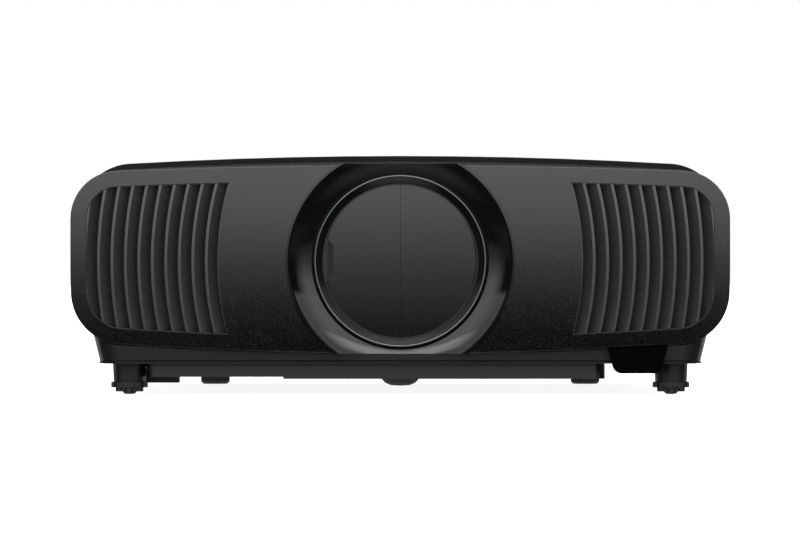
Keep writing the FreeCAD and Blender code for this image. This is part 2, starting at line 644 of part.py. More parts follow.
def tapered_block(name, inset, low, high):
    """The lower case's drafted form: a loft between two round-cornered rectangles."""
    sections = []
    draft = (value(SKIRT_TOP) - value(SKIRT_LOW)) / (value("skirt_top") - value("floor_level"))
    slope = value("skirt_slope") / (value("skirt_top") - value("floor_level"))
    for level in (value(low), value(high)):
        up = level - value("floor_level")
        half = value(SKIRT_LOW) + draft * up - value(inset)
        near = value(f"{FRONT} + skirt_front + skirt_slope") - slope * up + value(inset)
        far = value(f"{LID_BACK} - 2.5") + slope * up - value(inset)
        turn = value("plan_round") - value(inset)
        flat = Part.makePlane(2 * half, far - near, Vector(-half, near, level))
        sections.append(flat.makeOffset2D(-turn).makeOffset2D(turn).OuterWire)
    return fixed(name, Part.makeLoft(sections, True, True))


def foot_places():
    return [(side, f"{side} * {FOOT_SIDE}", f"{FRONT} + foot_back") for side in (-1, 1)]


def flank_block(name, inset, low, high):
    """The case's body between two heights: the fascia's outline, moved in, run back to the rear."""
    whole = outline_block(name + "_outline", f"(lid_inset + {inset})", "fascia_depth + groove",
                          f"{LID_BACK} - 2.5 - {FRONT}")
    return overlap(name, whole, box(name + "_span", (f"-{HALF}", HALF), (FRONT, REAR), (low, high)))


def make_lower_case():
    skirt = tapered_block("skirt_out", "0", "floor_level", "skirt_top")
    base = value("floor_level") + 0.01
    soft = rounded("skirt_soft", skirt, "3.2", lambda edge: edge.BoundBox.ZMax < base)
    outside = joined("tub_out", [soft, flank_block("flank_out", "0", "skirt_top - 24", "case_split")])
    inside = [tapered_block("skirt_in", "wall", "floor_level + wall", "skirt_top"),
              flank_block("flank_in", "wall", "skirt_top - 21", "case_split + 1")]
    rear_gap = box("tub_rear", (f"-{WALL_OUT} + 8", f"{WALL_OUT} - 8"), (f"{LID_BACK} - 6", f"{LID_BACK}"), (
        "skirt_top", "case_split + 1"))
    shell = cut("skirt_shell", outside, inside + [rear_gap])
    # a slim bead round the foot of the skirt
    bead_out = tapered_block("bead_out", "-0.9", "floor_level + 0.2", "floor_level + 1.7")
    bead = cut("bead", bead_out, [tapered_block("bead_in", "2", "floor_level", "floor_level + 2")])
    bosses, bores = [], []
    for side, x, y in foot_places():
        name = "left" if side < 0 else "right"
        collar = turned(f"foot_collar_{name}", [
            ("0", "collar_level"), ("collar_radius - 0.7", "collar_level"), ("collar_radius", "floor_level + 0.5"),
            ("0", "floor_level + 0.5"),
        ], (x, y, "0"))
        boss = rod(f"foot_boss_{name}", "Z", "stud_radius + 3.5", (x, y, "floor_level"), "18")
        bosses += [collar, boss]
        bores.append(rod(f"foot_bore_{name}", "Z", "stud_radius + 0.06", (x, y, "0"), "80"))
        fan_x = (f"{side} * {FAN_SIDE} - 14", f"{side} * {FAN_SIDE} + 10")
        bosses.append(box(f"fan_post_{name}", fan_x, (f"{FRONT} + 37", f"{FRONT} + 56"), (
            "floor_level + 1", f"{AXIS} - fan_size / 2 - 0.1")))
    bosses += [rod(f"board_post_{n}", "Z", "3", (x, y, "floor_level + 1"), "52 - floor_level - 1.1")
               for n, (x, y) in enumerate(board_posts())]
    bosses.append(box("intake_post", (f"(-{FILTER_LEFT} - {FILTER_RIGHT}) / 2 - 14", f"(-{FILTER_LEFT} - {FILTER_RIGHT}) / 2 + 14"), ("160", "178"), (
        "floor_level + 1", f"{AXIS} - fan_size / 2 - 0.1")))
    fascia_room = outline_block("skirt_trim", "-0.6", "-6", "fascia_depth + 0.3")
    well = box("floor_well", ("-98", "98"), (f"{FRONT} + 30", "150"), ("floor_level - 3", "floor_level + wall + 1"))
    window_room = box("window_room", (f"{WINDOW_LEFT} - 2", f"{WINDOW_RIGHT} + 2"), (FRONT, f"{FRONT} + 14.9"),
                      ("floor_level - 4", "case_split"))
    rear_room = box("rear_room", ("-bay_half - 3", "bay_half + 3"), (f"{LID_BACK} - 10", f"{LID_BACK} + 5"), (
        "bay_low - 3", "case_split + 1"))
    inlet_room = box("inlet_room", (f"{INLET_SIDE} - 20", f"{INLET_SIDE} + 20"), (f"{LID_BACK} - 10", f"{LID_BACK} + 5"), (
        "inlet_level - 16", "case_split + 1"))
    sides = [box(f"lip_side_{n}", xs, (FRONT, f"{FRONT} + 60"), ("0", "case_split")) for n, xs in enumerate((
        (f"-{HALF}", "-132"), ("132", HALF)))]
    lip = cut("lip_ring", joined("lip_whole", [
        outline_block("lip_tongue", "wall + 0.4", "fascia_depth - 5", "fascia_depth + groove + 2"),
        outline_block("lip_bridge", "lid_inset", "fascia_depth + groove", "fascia_depth + groove + 2")]),
        [outline_block("lip_hollow", "wall + 2.4", "fascia_depth - 6", "fascia_depth + groove + 3")])
    lips = overlap("lips", lip, joined("lip_sides", sides))
    holes = [rod(f"skirt_screw_hole_{n}", "Z", "1.6", (x, y, "0"), "60") for n, (x, y) in enumerate(base_screws())]
    tub = cut("tub", joined("tub_whole", [shell, bead] + bosses),
              bores + [fascia_room, well, window_room, rear_room, inlet_room] + holes)
    keep("lower_case", joined("skirt_and_lips", [tub, lips]))


def board_posts():
    return [(x, y) for x, ys in (("-105", ("118", "198")), ("105", ("118", "198")),
                                 ("126", ("28", "172")), ("228", ("28", "172"))) for y in ys]


def base_screws():
    """Places of the screws that hold the bottom cover to the lower case."""
    return [(x, y) for x in (f"-{TRAY_LEFT} + 14", f"{TRAY_RIGHT} - 14") for y in (f"{FRONT} + 52", f"{LID_BACK} - 16")]


def mount_places():
    return [(f"{side} * 115", y) for side in (-1, 1) for y in ("-120", "100")]


def make_bottom_cover():
    near, far = f"({FRONT} + 29)", f"({LID_BACK} - 8)"
    blank = box("tray_blank", (f"-{TRAY_LEFT}", TRAY_RIGHT), (near, far), ("tray_level", "floor_level - 0.1"))
    turned_corners = rounded("tray_corners", blank, "9", lambda edge: runs_along(edge, Z_AXIS))
    step = box("tray_step_cut", (f"-{TRAY_LEFT} - 1", "-93"), (f"{near} - 1", f"{far} + 1"),
               ("tray_level - 1", "tray_level + tray_step"))
    ledge = box("tray_ledge", ("-90", "100"), (f"{near} - 1.2", f"{near} + 3"), ("tray_level", "tray_level + 7"))
    inside = box("tray_inside", (f"-{TRAY_LEFT} + 5", f"{TRAY_RIGHT} - 5"), (f"{near} + 5", f"{far} - 5"),
                 ("tray_level + tray_step + wall", "floor_level + 1"))
    pad = box("tray_pad", (f"-{TRAY_LEFT} - 5.5", f"-{TRAY_LEFT} + 22.5"), ("-110", "-84"), ("7.3", "tray_level + 6"))
    pad_soft = rounded("tray_pad_soft", pad, "2", lambda edge: runs_along(edge, Z_AXIS))
    posts = [rod(f"mount_post_{n}", "Z", "6", (x, y, "tray_level"), "11.5") for n, (x, y) in enumerate(mount_places())]
    posts += [rod(f"screw_post_{n}", "Z", "5", (x, y, "tray_level + 1"), "11") for n, (x, y) in enumerate(base_screws())]
    mounts = [rod(f"mount_seat_{n}", "Z", "3", (x, y, "0"), "22") for n, (x, y) in enumerate(mount_places())]
    holes = [rod(f"tray_screw_hole_{n}", "Z", "1.7", (x, y, "0"), "60") for n, (x, y) in enumerate(base_screws())]
    sinks = [rod(f"tray_screw_sink_{n}", "Z", "3.7", (x, y, "0"), "16.5") for n, (x, y) in enumerate(base_screws())]
    slots = [box(f"tray_slot_{n}", (str(-60 + 10 * n), str(-56 + 10 * n)), ("-75", "-20"), ("0", "20")) for n in range(13)]
    feet = [rod(f"tray_foot_hole_{n}", "Z", "rear_foot_radius + 0.3", (
        f"{side} * {REAR_FOOT_SIDE}", f"{FRONT} + rear_foot_back", "0"), "30") for n, side in enumerate((-1, 1))]
    rack_room = box("rack_room", ("-98", "98"), (f"{near} + 1.5", f"{near} + 6"), ("20.5", "26"))
    hollow = cut("tray_hollow", turned_corners, [step, inside, rack_room])
    keep("bottom_cover", cut("tray", joined("tray_whole", [hollow, ledge, pad_soft] + posts),
                             mounts + holes + sinks + slots + feet))


def make_rear_panel():
    """The cap that closes the rear: a rounded rim, with the terminal bay, filter door and inlet openings."""
    half, top = f"({WALL_OUT} - 2)", f"({AXIS} + crown_rise - ({LID_BACK} - crown_peak) ^ 2 / (2 * crown_along) - 0.6)"

    split = "(case_split - 1)"

    def panel(name, inset, near, far):
        body = slab(name + "_blank", "XZ", [[
            (f"-{SKIRT_LOW} + 2 + {inset}", f"floor_level + 4 + {inset}"),
            (f"{SKIRT_LOW} - 2 - {inset}", f"floor_level + 4 + {inset}"),
            (f"{half} - {inset} - 15.5", f"{split} - 30.5 + {inset} * 0.4", f"low_corner - 6 - {inset}"),
            (f"{half} - {inset}", f"{split}"),
            (f"{half} - {inset}", f"{top} - {inset} - ({half} - {inset}) ^ 2 / (2 * crown_across)", "crown_across"),
            (f"-{half} + {inset}", f"{top} - {inset} - ({half} - {inset}) ^ 2 / (2 * crown_across)"),
            (f"-{half} + {inset}", f"{split}", f"low_corner - 6 - {inset}"),
            (f"-{half} + {inset} + 15.5", f"{split} - 30.5 + {inset} * 0.4"),
        ]], near, f"({far}) - ({near})")
        high = value(f"{top} - 30")
        return rounded(name, body, f"lid_round - 4 - {inset}",
                       lambda edge: runs_along(edge, Y_AXIS) and edge.BoundBox.ZMin > high)

    near = f"({LID_BACK} + 0.4)"
    whole = panel("rear_out", "0", near, REAR)
    back = value(REAR) - 0.01
    soft = rounded("rear_soft", whole, "5", lambda edge: edge.BoundBox.YMin > back)
    inside = panel("rear_in", "wall", f"{LID_BACK} - 1", f"{REAR} - wall")
    shell = cut("rear_shell", soft, [inside])
    bay = box("bay_opening", ("-bay_half", "bay_half"), ("0", "300"), ("bay_low", "bay_high"))
    hatch = box("filter_opening", (f"-{FILTER_LEFT}", f"-{FILTER_RIGHT}"), ("0", "300"), ("filter_low", "filter_high"))
    inlet = box("inlet_opening", (f"{INLET_SIDE} - 17", f"{INLET_SIDE} + 17"), ("0", "300"), ("inlet_level - 13", "inlet_level + 13"))
    eye = rod("eye_opening", "Y", "8.2", ("0", "0", f"{AXIS} + 44"), "300")
    slots = [box(f"rear_slot_{n}", ("136", "234"), ("0", "300"), (str(92 + 8 * n), str(95.4 + 8 * n))) for n in range(8)]
    holes = [rod(f"rear_screw_hole_{n}", "Y", "1.7", (x, "190", z), "60") for n, (x, z) in enumerate(rear_screws())]
    sinks = [rod(f"rear_screw_sink_{n}", "Y", "3.6", (x, f"{REAR} - 2.2", z), "10") for n, (x, z) in enumerate(rear_screws())]
    posts = [rod(f"rear_post_{n}", "Y", "4.5", (x, f"{LID_BACK} + 2", z), "rear_cap - 3") for n, (x, z) in enumerate(rear_screws())]
    keep("rear_panel", cut("rear", joined("rear_whole", [shell] + posts), [bay, hatch, inlet, eye] + slots + holes + sinks))
    eye_body = turned("eye", [("0", "0"), ("10", "0"), ("10", "2"), ("7.9", "2"), ("7.9", "4.2"), ("6.5", "4.7"), ("0", "4.9")],
                      ("0", f"{REAR} - wall - 2.3", f"{AXIS} + 44"), "Y")
    keep("remote_window_rear", eye_body)


def rear_screws():
    return [(x, z) for x in ("-122", "122") for z in ("48", "160")]


def make_fasteners():
    """Screws in the base and rear, and the four threaded brass inserts of the ceiling mount."""
    parts = []
    for n, (x, y) in enumerate(base_screws()):
        parts.append(turned(f"base_screw_{n}", [
            ("0", "14.5"), ("1.1", "13.9"), ("3.2", "14.4"), ("3.2", "16.4"), ("1.5", "16.4"), ("1.5", "26"), ("0", "27")],
            (x, y, "0")))
    for n, (x, z) in enumerate(rear_screws()):
        parts.append(turned(f"rear_screw_{n}", [
            ("0", "-14"), ("1.5", "-13"), ("1.5", "0.1"), ("3.2", "0.1"), ("3.2", "1.3"), ("1.1", "1.8"), ("0", "1.3")],
            (x, f"{REAR} - 2.2", z), "Y"))
    for n, (x, y) in enumerate(mount_places()):
        parts.append(turned(f"mount_insert_{n}", [
            ("2", "0"), ("3", "0"), ("3", "9.5"), ("2", "9.5")], (x, y, "tray_level + 0.2")))
    keep("fasteners", group("fastener_set", parts))


def make_feet():
    for side, x, y in foot_places():
        name = "left" if side < 0 else "right"
        top = "(collar_level - fit_gap)"
        stem = turned(f"dial_stem_{name}", [
            ("pad_radius - 2.4", f"{top} - 1"), ("dial_radius - 0.8", f"{top} - 1"), ("dial_radius - 0.8", f"{top}"),
            ("stud_radius", f"{top}"), ("stud_radius", f"{top} + stud_length"), ("pad_radius - 2.4", f"{top} + stud_length"),
        ], (x, y, "0"))
        rim = Part.makeCylinder(value("dial_radius"), value(f"{top} - 0.4 - dial_low"), Vector(0, 0, value("dial_low")))
        notches = 20
        for n in range(notches):
            turn = 2 * math.pi * n / notches
            reach = value("dial_radius") + 0.5
            rim = rim.cut(Part.makeCylinder(1.1, 20, Vector(reach * math.cos(turn), reach * math.sin(turn), 0)))
        lobes = Part.makeCylinder(value("lobe_radius") - 2, value("dial_low - lobe_low") + 0.5, Vector(0, 0, value("lobe_low")))
        for n in range(6):
            turn = 2 * math.pi * (n + 0.5) / 6
            reach = value("lobe_radius") - 3.4
            lobes = lobes.fuse(Part.makeCylinder(3.4, value("dial_low - lobe_low") + 0.5, Vector(
                reach * math.cos(turn), reach * math.sin(turn), value("lobe_low"))))
        wheel = rim.fuse(lobes)
        wheel = wheel.cut(Part.makeCylinder(value("pad_radius") + 0.3, 3, Vector(0, 0, value("lobe_low") - 1)))
        wheel = wheel.cut(Part.makeCylinder(value("pad_radius") - 2.4, 30, Vector()))
        knob = fixed(f"dial_wheel_{name}", wheel)
        place(knob, x, y, "0")
        keep(f"foot_dial_{name}", joined(f"dial_{name}", [stem, knob]))
        keep(f"foot_pad_{name}", turned(f"pad_{name}", [
            ("0", "0"), ("3.4", "0"), ("pad_radius - 0.6", "0.9"), ("pad_radius", "lobe_low"),
            ("pad_radius", "lobe_low + 1.7"), ("pad_radius - 2.8", "lobe_low + 1.7"),
            ("pad_radius - 2.8", "22"), ("0", "22")], (x, y, "0")))
    feet = []
    for n, side in enumerate((-1, 1)):
        feet.append(turned(f"rear_foot_{n}", [
            ("0", "0"), ("rear_foot_radius - 2", "0"), ("rear_foot_radius", "2"),
            ("rear_foot_radius", "floor_level - 0.05"), ("0", "floor_level - 0.05")],
            (f"{side} * {REAR_FOOT_SIDE}", f"{FRONT} + rear_foot_back", "0")))
    feet.append(turned("centre_foot", [
        ("0", "0.6"), ("8", "1.1"), ("13", "3.2"), ("16.5", "7"), ("16.5", "tray_level - 0.05"), ("0", "tray_level - 0.05")],
        ("0", "68", "0")))
    keep("rear_feet", group("rear_foot_set", feet))


# ---------------------------------------------------------------- projection lens

def make_lens():
    def at(depth):
        return f"{FRONT} + ({depth})"

    profile = [
        ("barrel_radius - 6", "barrel_back"), ("barrel_radius - 6", "52.2"), ("37.2", "52.2"), ("37.2", "barrel_front"),
        ("46", "barrel_front"), ("46", "37"), ("barrel_radius", "41"),
    ]
    for start in ("focus_at", "zoom_at"):
        profile += [
            ("barrel_radius", f"{start} - 4"), ("barrel_radius + 2", f"{start} - 4"),
            ("barrel_radius + 2", f"{start} - 0.3"), ("barrel_radius", f"{start} - 0.3"),
            ("barrel_radius", f"{start} + gear_width + 0.3"), ("barrel_radius + 2", f"{start} + gear_width + 0.3"),
            ("barrel_radius + 2", f"{start} + gear_width + 2.3"), ("barrel_radius", f"{start} + gear_width + 2.3"),
        ]
    profile += [("barrel_radius", "barrel_back - 4"), ("52", "barrel_back - 4"), ("52", "barrel_back")]
    tube = turned("barrel_tube", profile, ("0", FRONT, AXIS), "Y")
    spread = "((ring_teeth + drive_teeth) * drive_module / 2 * sqrt(0.5))"
    saddles, bores, motors = [], [], []
    for name, side, start in (("focus", -1, "focus_at"), ("zoom", 1, "zoom_at")):
        x, z = f"{side} * {spread}", f"{AXIS} + {spread}"
        saddles.append(rod(f"{name}_saddle", "Y", "12.5", (x, at(f"{start} + gear_width + 5"), z), "10"))
        bores.append(rod(f"{name}_saddle_bore", "Y", "8.6", (x, at(f"{start} + gear_width + 1"), z), "20"))
        toward = 225 if side < 0 else 315
        ring = gear(f"{name}_ring_gear", count("ring_teeth"), value("drive_module"), value("gear_width"), 1, "Y",
                    phase=math.radians(toward), ring_inside=value("barrel_radius") + 0.15)
        keep(f"{name}_ring", place(ring, "0", at(start), AXIS))
        drive = gear(f"{name}_pinion_gear", count("drive_teeth"), value("drive_module"), value("gear_width"), 1.55, "Y",
                     phase=math.radians(toward - 180 + 15))
        keep(f"{name}_pinion", place(drive, x, at(start), z))
        can = rod(f"{name}_can", "Y", "8.5", (x, at(f"{start} + gear_width + 2.5"), z), "17.5")
        shaft = rod(f"{name}_shaft", "Y", "1.5", (x, at(f"{start} - 0.5"), z), "gear_width + 5")
        motors.append(joined(f"{name}_motor_whole", [can, shaft]))
    keep("lens_motors", group("lens_motor_pair", motors))
    room = rod("saddle_room", "Y", "barrel_radius - 6", ("0", at("60"), AXIS), "70")
    keep("lens_barrel", cut("barrel", joined("barrel_whole", [tube] + saddles), bores + [room]))
    front = turned("glass_front", [
        ("0", "40", "(37 ^ 2 + 6 ^ 2) / 12"), ("37", "46"), ("37", "52"), ("0", "52")], ("0", FRONT, AXIS), "Y")
    rear = turned("glass_rear", [
        ("0", "122"), ("33.8", "122"), ("33.8", "128", "(33.8 ^ 2 + 5 ^ 2) / 10"), ("0", "133"),
    ], ("0", FRONT, AXIS), "Y")
    keep("lens_glass", group("glass_pair", [front, rear]))

    back = "barrel_back"
    flat = box("shift_flat", ("-70", "70"), (at(back), at(f"{back} + 4")), (f"{AXIS} - 62", f"{AXIS} + 62"))
    keep("shift_plate_side", cut("side_plate", flat, [
        rod("side_plate_hole", "Y", "33", ("0", at(f"{back} - 1"), AXIS), "6")]))
    upright = box("shift_upright", ("-78", "78"), (at(f"{back} + 4.4"), at(f"{back} + 8.4")), (
        f"{AXIS} - 68", f"{AXIS} + 68"))
    rails = []
    for n, side in enumerate((-1, 1)):
        for part, near, low in (("rail", f"{back}", "62.4"), ("lip", f"{back} - 1.4", "59.6")):
            ends = [f"{AXIS} + {side} * {low}", f"{AXIS} + {side} * 68"]
            far = f"{back} + 4.5" if part == "rail" else f"{back} - 0.3"
            low_z, high_z = (ends[1], ends[0]) if side < 0 else (ends[0], ends[1])
            rails.append(box(f"side_{part}_{n}", ("-58", "58"), (at(near), at(far)), (low_z, high_z)))
            if part == "rail":
                rails.append(box(f"side_root_{n}", ("-58", "58"), (at(f"{back} - 1.4"), at(f"{back} + 1")), (
                    f"{AXIS} + {side} * 65.2 - 2.8", f"{AXIS} + {side} * 65.2 + 2.8")))
    keep("shift_plate_up", cut("up_plate", joined("up_plate_whole", [upright] + rails), [
        rod("up_plate_hole", "Y", "42", ("0", at(f"{back} + 1"), AXIS), "12")]))
    base = box("mount_base", ("-106", "106"), (at(f"{back} + 8.8"), at(f"{back} + 12.8")), (
        "floor_level + wall + 0.05", f"{AXIS} + 70"))
    guides = []
    for n, side in enumerate((-1, 1)):
        near_x, far_x = (78.4, 88) if side > 0 else (-88, -78.4)
        lip_x = (76.8, 88) if side > 0 else (-88, -76.8)
        guides.append(box(f"up_rail_{n}", (str(near_x), str(far_x)), (at(f"{back} + 2"), at(f"{back} + 9")), (
            f"{AXIS} - 55", f"{AXIS} + 55")))
        guides.append(box(f"up_lip_{n}", (str(lip_x[0]), str(lip_x[1])), (at(f"{back} + 2"), at(f"{back} + 4")), (
            f"{AXIS} - 55", f"{AXIS} + 55")))
    keep("lens_mount", cut("mount", joined("mount_whole", [base] + guides), [
        rod("mount_hole", "Y", "44", ("0", at(f"{back} + 7"), AXIS), "8")]))


def make_optics():
    near = f"{FRONT} + barrel_back + 12.9"
    zs = (f"{AXIS} - 45", f"{AXIS} + 45")
    shell = box("engine_box", ("-70", "70"), (near, "20"), zs)
    room = box("engine_room", ("-67", "67"), (f"{near} + 3", "17"), (f"{AXIS} - 42", f"{AXIS} + 42"))
    port = rod("engine_port", "Y", "30", ("0", f"{near} - 1", AXIS), "6")
    keep("optical_engine", cut("engine", shell, [room, port]))
    panels = [box("prism_block", ("-20", "20"), (f"{near} + 14", f"{near} + 54"), (f"{AXIS} - 41.9", f"{AXIS} + 20")),
              box("panel_side_0", ("-25", "-22"), (f"{near} + 16", f"{near} + 52"), (f"{AXIS} - 41.9", f"{AXIS} + 16")),
              box("panel_side_1", ("22", "25"), (f"{near} + 16", f"{near} + 52"), (f"{AXIS} - 41.9", f"{AXIS} + 16")),
              box("panel_back", ("-18", "18"), (f"{near} + 56", f"{near} + 59"), (f"{AXIS} - 41.9", f"{AXIS} + 16"))]
    keep("imaging_core", group("core_set", panels))
    block = box("source_box", ("-70", "20"), ("20.1", "98"), zs)
    hollow = rod("source_hollow", "Y", "29", ("-25", "50", AXIS), "22")
    keep("laser_source", cut("source", block, [hollow]))
    keep("phosphor_wheel", turned("wheel", [
        ("0", "0"), ("9", "0"), ("9", "8"), ("26", "8"), ("26", "9.5"), ("9", "9.5"), ("9", "14"), ("0", "14")],
        ("-25", "54", AXIS), "Y"))
    fins = [box(f"sink_fin_{n}", (str(34 + 5.6 * n), str(35.4 + 5.6 * n)), ("26", "98"), zs) for n in range(14)]
    plate = box("sink_plate", ("20.1", "36"), ("26", "98"), (f"{AXIS} - 14", f"{AXIS} + 14"))
    pipes = [rod(f"sink_pipe_{n}", "X", "3", ("30", y, f"{AXIS} + {up}"), "80")
             for n, (y, up) in enumerate((("44", -26), ("80", -26), ("44", 26), ("80", 26), ("62", 0)))]
    keep("heat_sink", joined("sink", [plate] + fins + pipes))


def make_fans():
    frames = []
    spots = [("left", f"-{FAN_SIDE}", f"{FRONT} + 34"), ("right", FAN_SIDE, f"{FRONT} + 34"),
             ("intake", f"(-{FILTER_LEFT} - {FILTER_RIGHT}) / 2", "156")]
    for name, x, y in spots:
        half = "fan_size / 2"
        block = box(f"fan_block_{name}", (f"{x} - {half}", f"{x} + {half}"), (y, f"{y} + fan_thick"), (
            f"{AXIS} - {half}", f"{AXIS} + {half}"))
        bore = rod(f"fan_bore_{name}", "Y", "fan_radius + 0.9", (x, f"{y} - 1", AXIS), "fan_thick + 2")
        ring = cut(f"fan_frame_{name}", block, [bore])
        seat = rod(f"fan_seat_{name}", "Y", "hub_radius", (x, f"{y} + fan_thick - 3", AXIS), "3")
        far = (f"{y} + fan_thick - 3", f"{y} + fan_thick")
        arms = [box(f"fan_arm_x_{name}", (f"{x} - {half} + 1", f"{x} + {half} - 1"), far, (f"{AXIS} - 2", f"{AXIS} + 2")),
                box(f"fan_arm_z_{name}", (f"{x} - 2", f"{x} + 2"), far, (f"{AXIS} - {half} + 1", f"{AXIS} + {half} - 1"))]
        frames.append(joined(f"fan_case_{name}", [ring, seat] + arms))
        hub = Part.makeCylinder(value("hub_radius") - 0.5, 20, Vector(0, 0, 1))
        blades = []
        for n in range(7):
            inner, outer = value("hub_radius") - 2, value("fan_radius") - 0.6
            low, high = 3.0, 18.0
            lean = 9.0
            corners = [Vector(-lean, inner, low), Vector(-lean + 1.6, inner, low),
                       Vector(lean + 1.6, inner, high), Vector(lean, inner, high)]
            face = Part.Face(Part.makePolygon(corners + corners[:1]))
            blade = face.extrude(Vector(0, outer - inner, 0))
            blade.rotate(Vector(), Vector(0, 0, 1), 360 / 7 * n)
            blades.append(blade)
        limit = Part.makeCylinder(value("fan_radius"), 22)
        rotor = fixed(f"fan_rotor_{name}", hub.fuse(blades).common(limit))
        rotor.Placement = FreeCAD.Placement(Vector(), ALONG["Y"])
        label = "intake_fan_rotor" if name == "intake" else f"exhaust_rotor_{name}"
        keep(label, place(rotor, x, y, AXIS))
    keep("fan_frames", group("fan_frame_set", frames))


# ---------------------------------------------------------------- boards, connectors, rear

def make_boards():
    plate = box("main_plate", ("-110", "110"), ("112", "205"), ("52", "53.6"))
    chips = [box(f"main_chip_{n}", (str(x), str(x + w)), (str(y), str(y + d)), ("53.5", str(53.6 + up)))
             for n, (x, y, w, d, up) in enumerate((
                 (-20, 130, 34, 34, 9), (-70, 124, 18, 18, 2), (40, 128, 14, 20, 2), (76, 122, 22, 12, 7),
                 (-96, 150, 12, 8, 4)))]
    keep("main_board", joined("main_whole", [plate] + chips))
    deck = box("power_plate", ("120", "236"), ("20", "180"), ("52", "53.6"))
    blocks = [box(f"power_block_{n}", (str(x), str(x + w)), (str(y), str(y + d)), ("53.5", str(53.6 + up)))
              for n, (x, y, w, d, up) in enumerate((
                  (130, 40, 36, 32, 30), (180, 36, 40, 36, 34), (132, 90, 4, 60, 26), (160, 96, 28, 26, 24)))]
    cans = [rod(f"power_can_{n}", "Z", str(r), (str(x), str(y), "53.5"), str(up))
            for n, (x, y, r, up) in enumerate(((212, 100, 13, 32), (212, 132, 13, 32), (176, 150, 8, 20), (152, 158, 6, 16)))]
    keep("power_board", joined("power_whole", [deck] + blocks + cans))

    out = f"{REAR} - 6"
    plate = box("bay_plate", ("-bay_half + 0.3", "bay_half - 0.3"), (f"{out} - 2", out), ("bay_low + 0.3", "bay_high - 0.3"))
    flange = box("bay_flange", ("-bay_half - 2", "bay_half + 2"), (f"{REAR} - wall - 7.4", f"{out} - 1.9"), (
        "bay_low - 2", "bay_high + 2"))
    holes, made = [], []
    for name, x, z, wide, high, deep in sockets():
        lo, hi = f"{x} - {wide} / 2", f"{x} + {wide} / 2"
        below, above = f"{z}", f"{z} + {high}"
        holes.append(box(f"{name}_hole", (f"{lo} - 0.25", f"{hi} + 0.25"), ("200", "230"), (
            f"{below} - 0.25", f"{above} + 0.25")))
        body = box(f"{name}_body", (lo, hi), (f"{out} - {deep}", f"{out} + 1.4"), (below, above))
        mouth = box(f"{name}_mouth", (f"{lo} + 0.7", f"{hi} - 0.7"), (f"{out} - {deep} + 3", f"{out} + 3"), (
            f"{below} + 0.7", f"{above} - 0.7"))
        shell = cut(f"{name}_shell", body, [mouth])
        tongue_z = f"{z} + {high} / 2"
        if name in ("lan",):
            made.append(shell)
            continue
        tongue = box(f"{name}_tongue", (f"{lo} + 2", f"{hi} - 2"), (f"{out} - {deep} + 2", f"{out}"), (
            f"{tongue_z} - 0.7", f"{tongue_z} + 0.7"))
        made.append(joined(f"{name}_whole", [shell, tongue]))
    for n, x in enumerate(("84", "98")):
        holes.append(rod(f"jack_hole_{n}", "Y", "3.85", (x, "200", "60"), "40"))
        made.append(turned(f"jack_{n}", [
            ("0", "0"), ("3.6", "0"), ("3.6", "12.6"), ("1.8", "12.6"), ("1.8", "4"), ("0", "4")],
            (x, f"{out} - 11", "60"), "Y"))
    keep("terminal_plate", cut("terminal", joined("terminal_whole", [plate, flange]), holes))
    keep("connectors", group("connector_set", made))

    x, z = INLET_SIDE, "inlet_level"
    body = box("inlet_body", (f"{x} - 14.5", f"{x} + 14.5"), (f"{REAR} - 28", f"{REAR} - 2"), (f"{z} - 11", f"{z} + 11"))
    rim = box("inlet_rim", (f"{x} - 16.7", f"{x} + 16.7"), (f"{REAR} - 4", f"{REAR} - 1.4"), (f"{z} - 12.7", f"{z} + 12.7"))
    back_rim = box("inlet_back_rim", (f"{x} - 19", f"{x} + 19"), (f"{REAR} - 6", f"{REAR} - wall - 0.1"), (
        f"{z} - 15", f"{z} + 15"))
    mouth = slab("inlet_mouth", "XZ", [[
        ("-12", "-8"), ("12", "-8"), ("12", "3.5"), ("7.5", "8"), ("-7.5", "8"), ("-12", "3.5")]],
        "-20", "25", (x, REAR, z))
    blades = [box(f"inlet_blade_{n}", (f"{x} + {dx} - 1", f"{x} + {dx} + 1"), (f"{REAR} - 21", f"{REAR} - 7"), (
        f"{z} + {dz} - 2", f"{z} + {dz} + 2")) for n, (dx, dz) in enumerate(((-7, -1.5), (7, -1.5), (0, 2.5)))]
    keep("power_inlet", joined("inlet_whole", [cut("inlet_case", joined("inlet_solid", [body, rim, back_rim]), [mouth])] + blades))


def sockets():
    """name, middle x, lowest z, width, height, depth of each rectangular socket."""
    return [("video_one", "-88", "55", "15", "5.6", "12"), ("video_two", "-64", "55", "15", "5.6", "12"),
            ("stick_one", "-38", "55", "13.2", "6", "14"), ("stick_two", "-17", "55", "13.2", "6", "14"),
            ("serial", "14", "55", "19", "9", "5"), ("lan", "54", "54.5", "15.6", "13", "16")]


